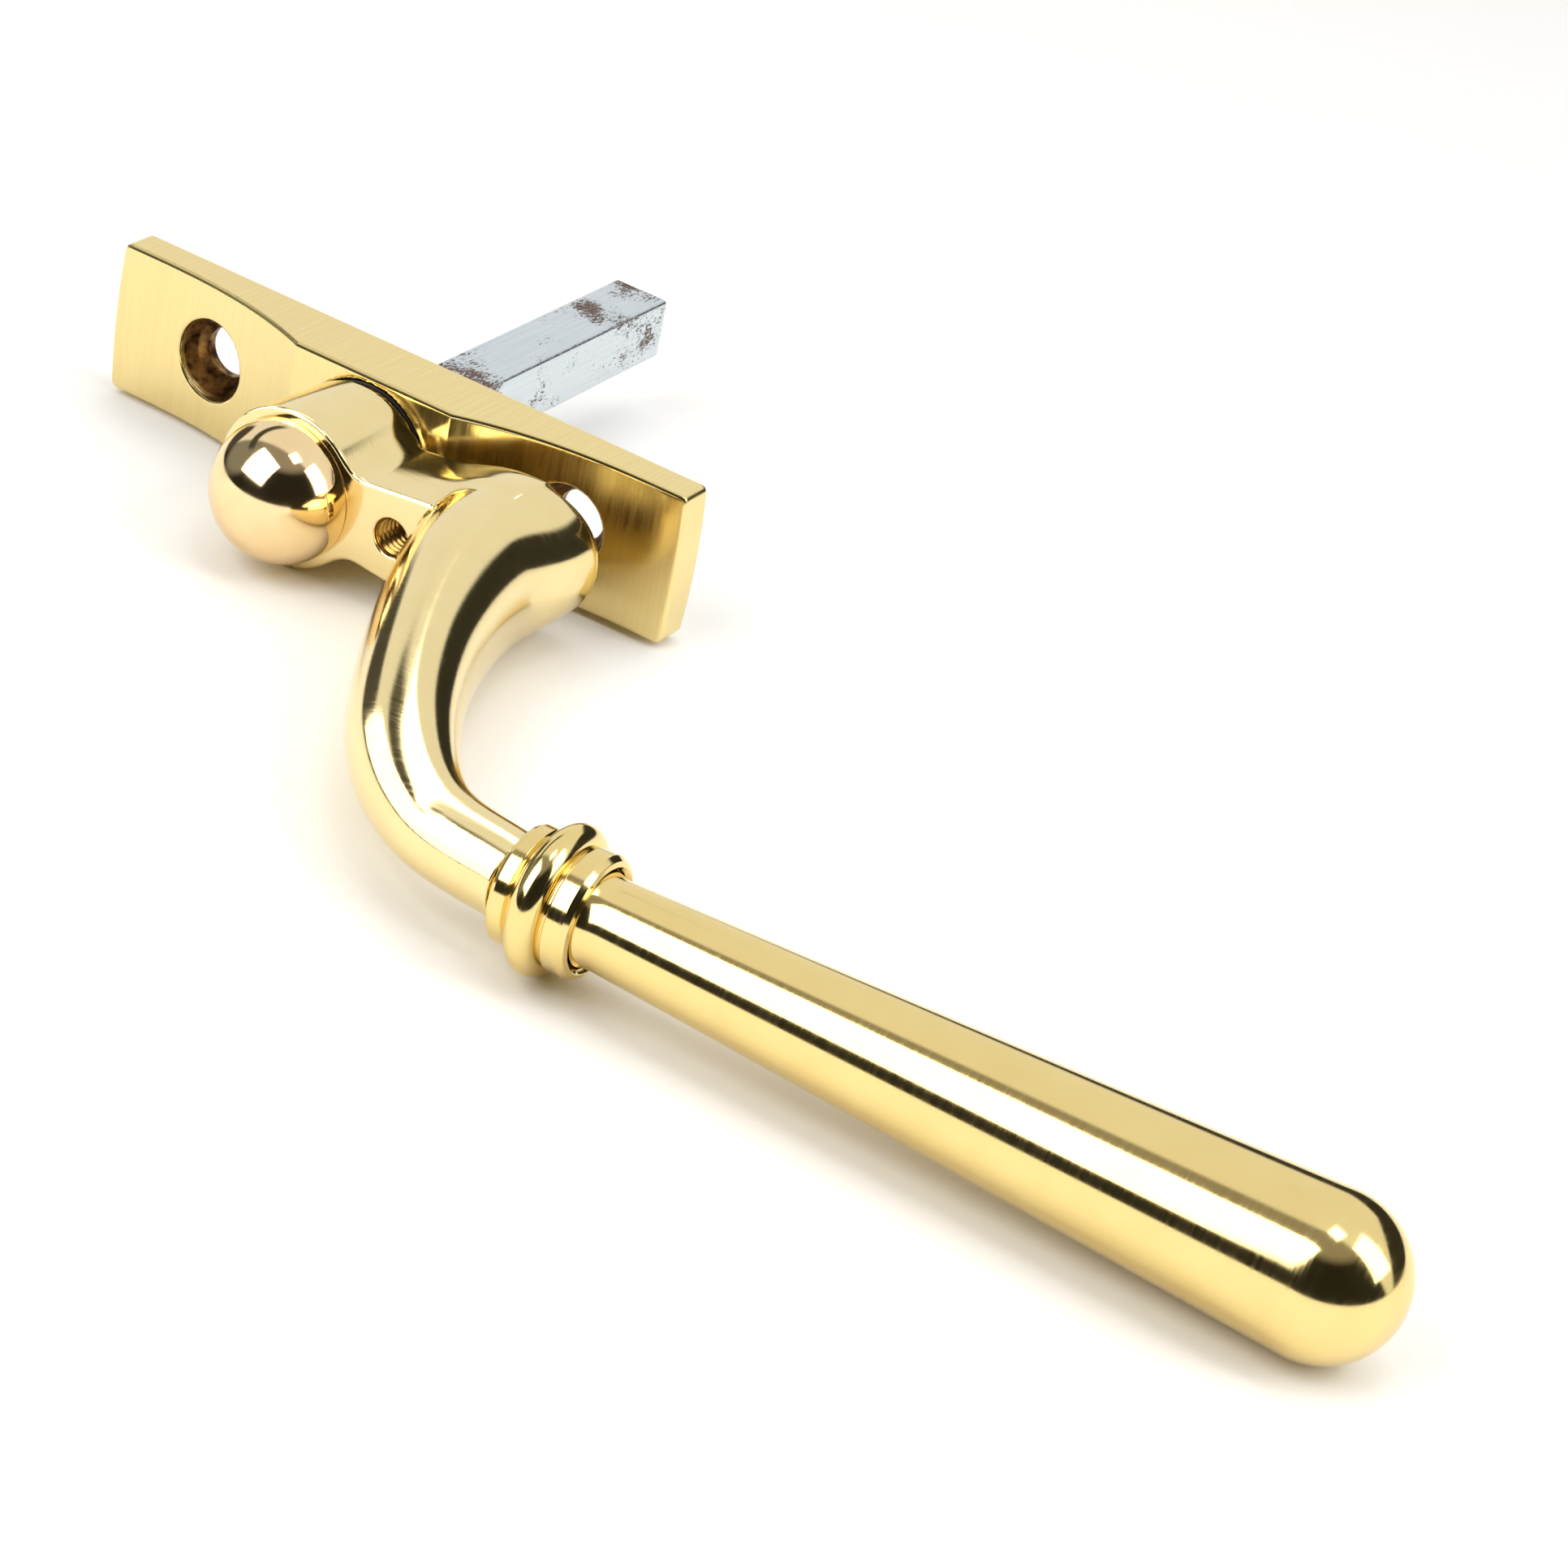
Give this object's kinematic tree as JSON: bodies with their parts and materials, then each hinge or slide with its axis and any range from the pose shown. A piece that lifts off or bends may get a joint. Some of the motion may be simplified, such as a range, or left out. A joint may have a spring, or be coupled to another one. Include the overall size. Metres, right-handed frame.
{
  "type": "espagnolette window handle",
  "caption": "Turning window handle: lever with swept neck, beaded collar and tapered round grip, domed pivot, oblong screw-on back plate and square drive bar.",
  "frame": {"origin": "turning axis of the lever where it meets the back plate's back face, which is also the middle of the two fixing holes", "axes": "+X along the back plate towards the grip's end, +Y into the window along the square drive bar, +Z across the plate, upwards; the grip is on the -Y side"},
  "size_m": [0.1795, 0.1133, 0.0178],
  "materials": {
    "polished_brass": "polished",
    "pale_bronze": "polished",
    "zinc_plated_steel": "dull zinc plate",
    "spring_steel": "oiled",
    "black_nylon": "matt"
  },
  "bodies": {
    "plate": {"back_plate": "polished_brass", "plate_bush": "black_nylon", "spring_washer": "spring_steel", "thrust_washer": "spring_steel"},
    "lever": {"lever_arm": "polished_brass", "dome_cap": "pale_bronze", "square_spindle": "zinc_plated_steel", "spindle_pin": "spring_steel", "snap_ring": "spring_steel", "grip_collar": "polished_brass", "grip_bar": "polished_brass", "grip_stud": "spring_steel"}
  },
  "joints": [
    {"name": "lever_turn", "type": "hinge", "parent": "plate", "child": "lever", "pos_m": [0, 0, 0], "axis": [0, -1, 0], "range_deg": [0, 90]}
  ]
}
